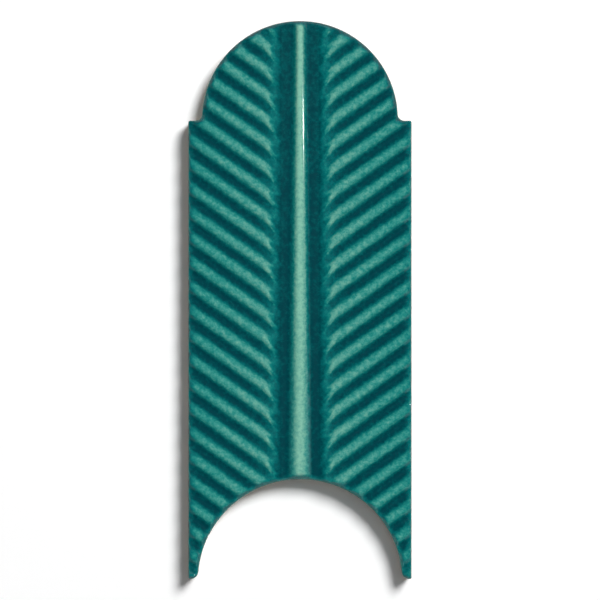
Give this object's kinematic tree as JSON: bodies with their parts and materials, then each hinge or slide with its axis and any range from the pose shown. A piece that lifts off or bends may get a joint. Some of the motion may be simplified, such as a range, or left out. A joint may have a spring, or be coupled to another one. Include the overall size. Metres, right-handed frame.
{
  "type": "leaf ceramic tile",
  "caption": "Interlocking wall tile with a round head, a hollow foot that takes the next head, and a glazed leaf relief of slanting ribs either side of a midrib.",
  "frame": {"origin": "on the flat back, at the middle of the tile's bounding box", "axes": "+X across the width, +Y along the length towards the round head, +Z out of the glazed face; the tile lies on its back"},
  "size_m": [0.06, 0.15, 0.009],
  "materials": {
    "glazed_clay": "glossy"
  },
  "bodies": {
    "root": {"leaf_tile": "glazed_clay"}
  },
  "joints": []
}
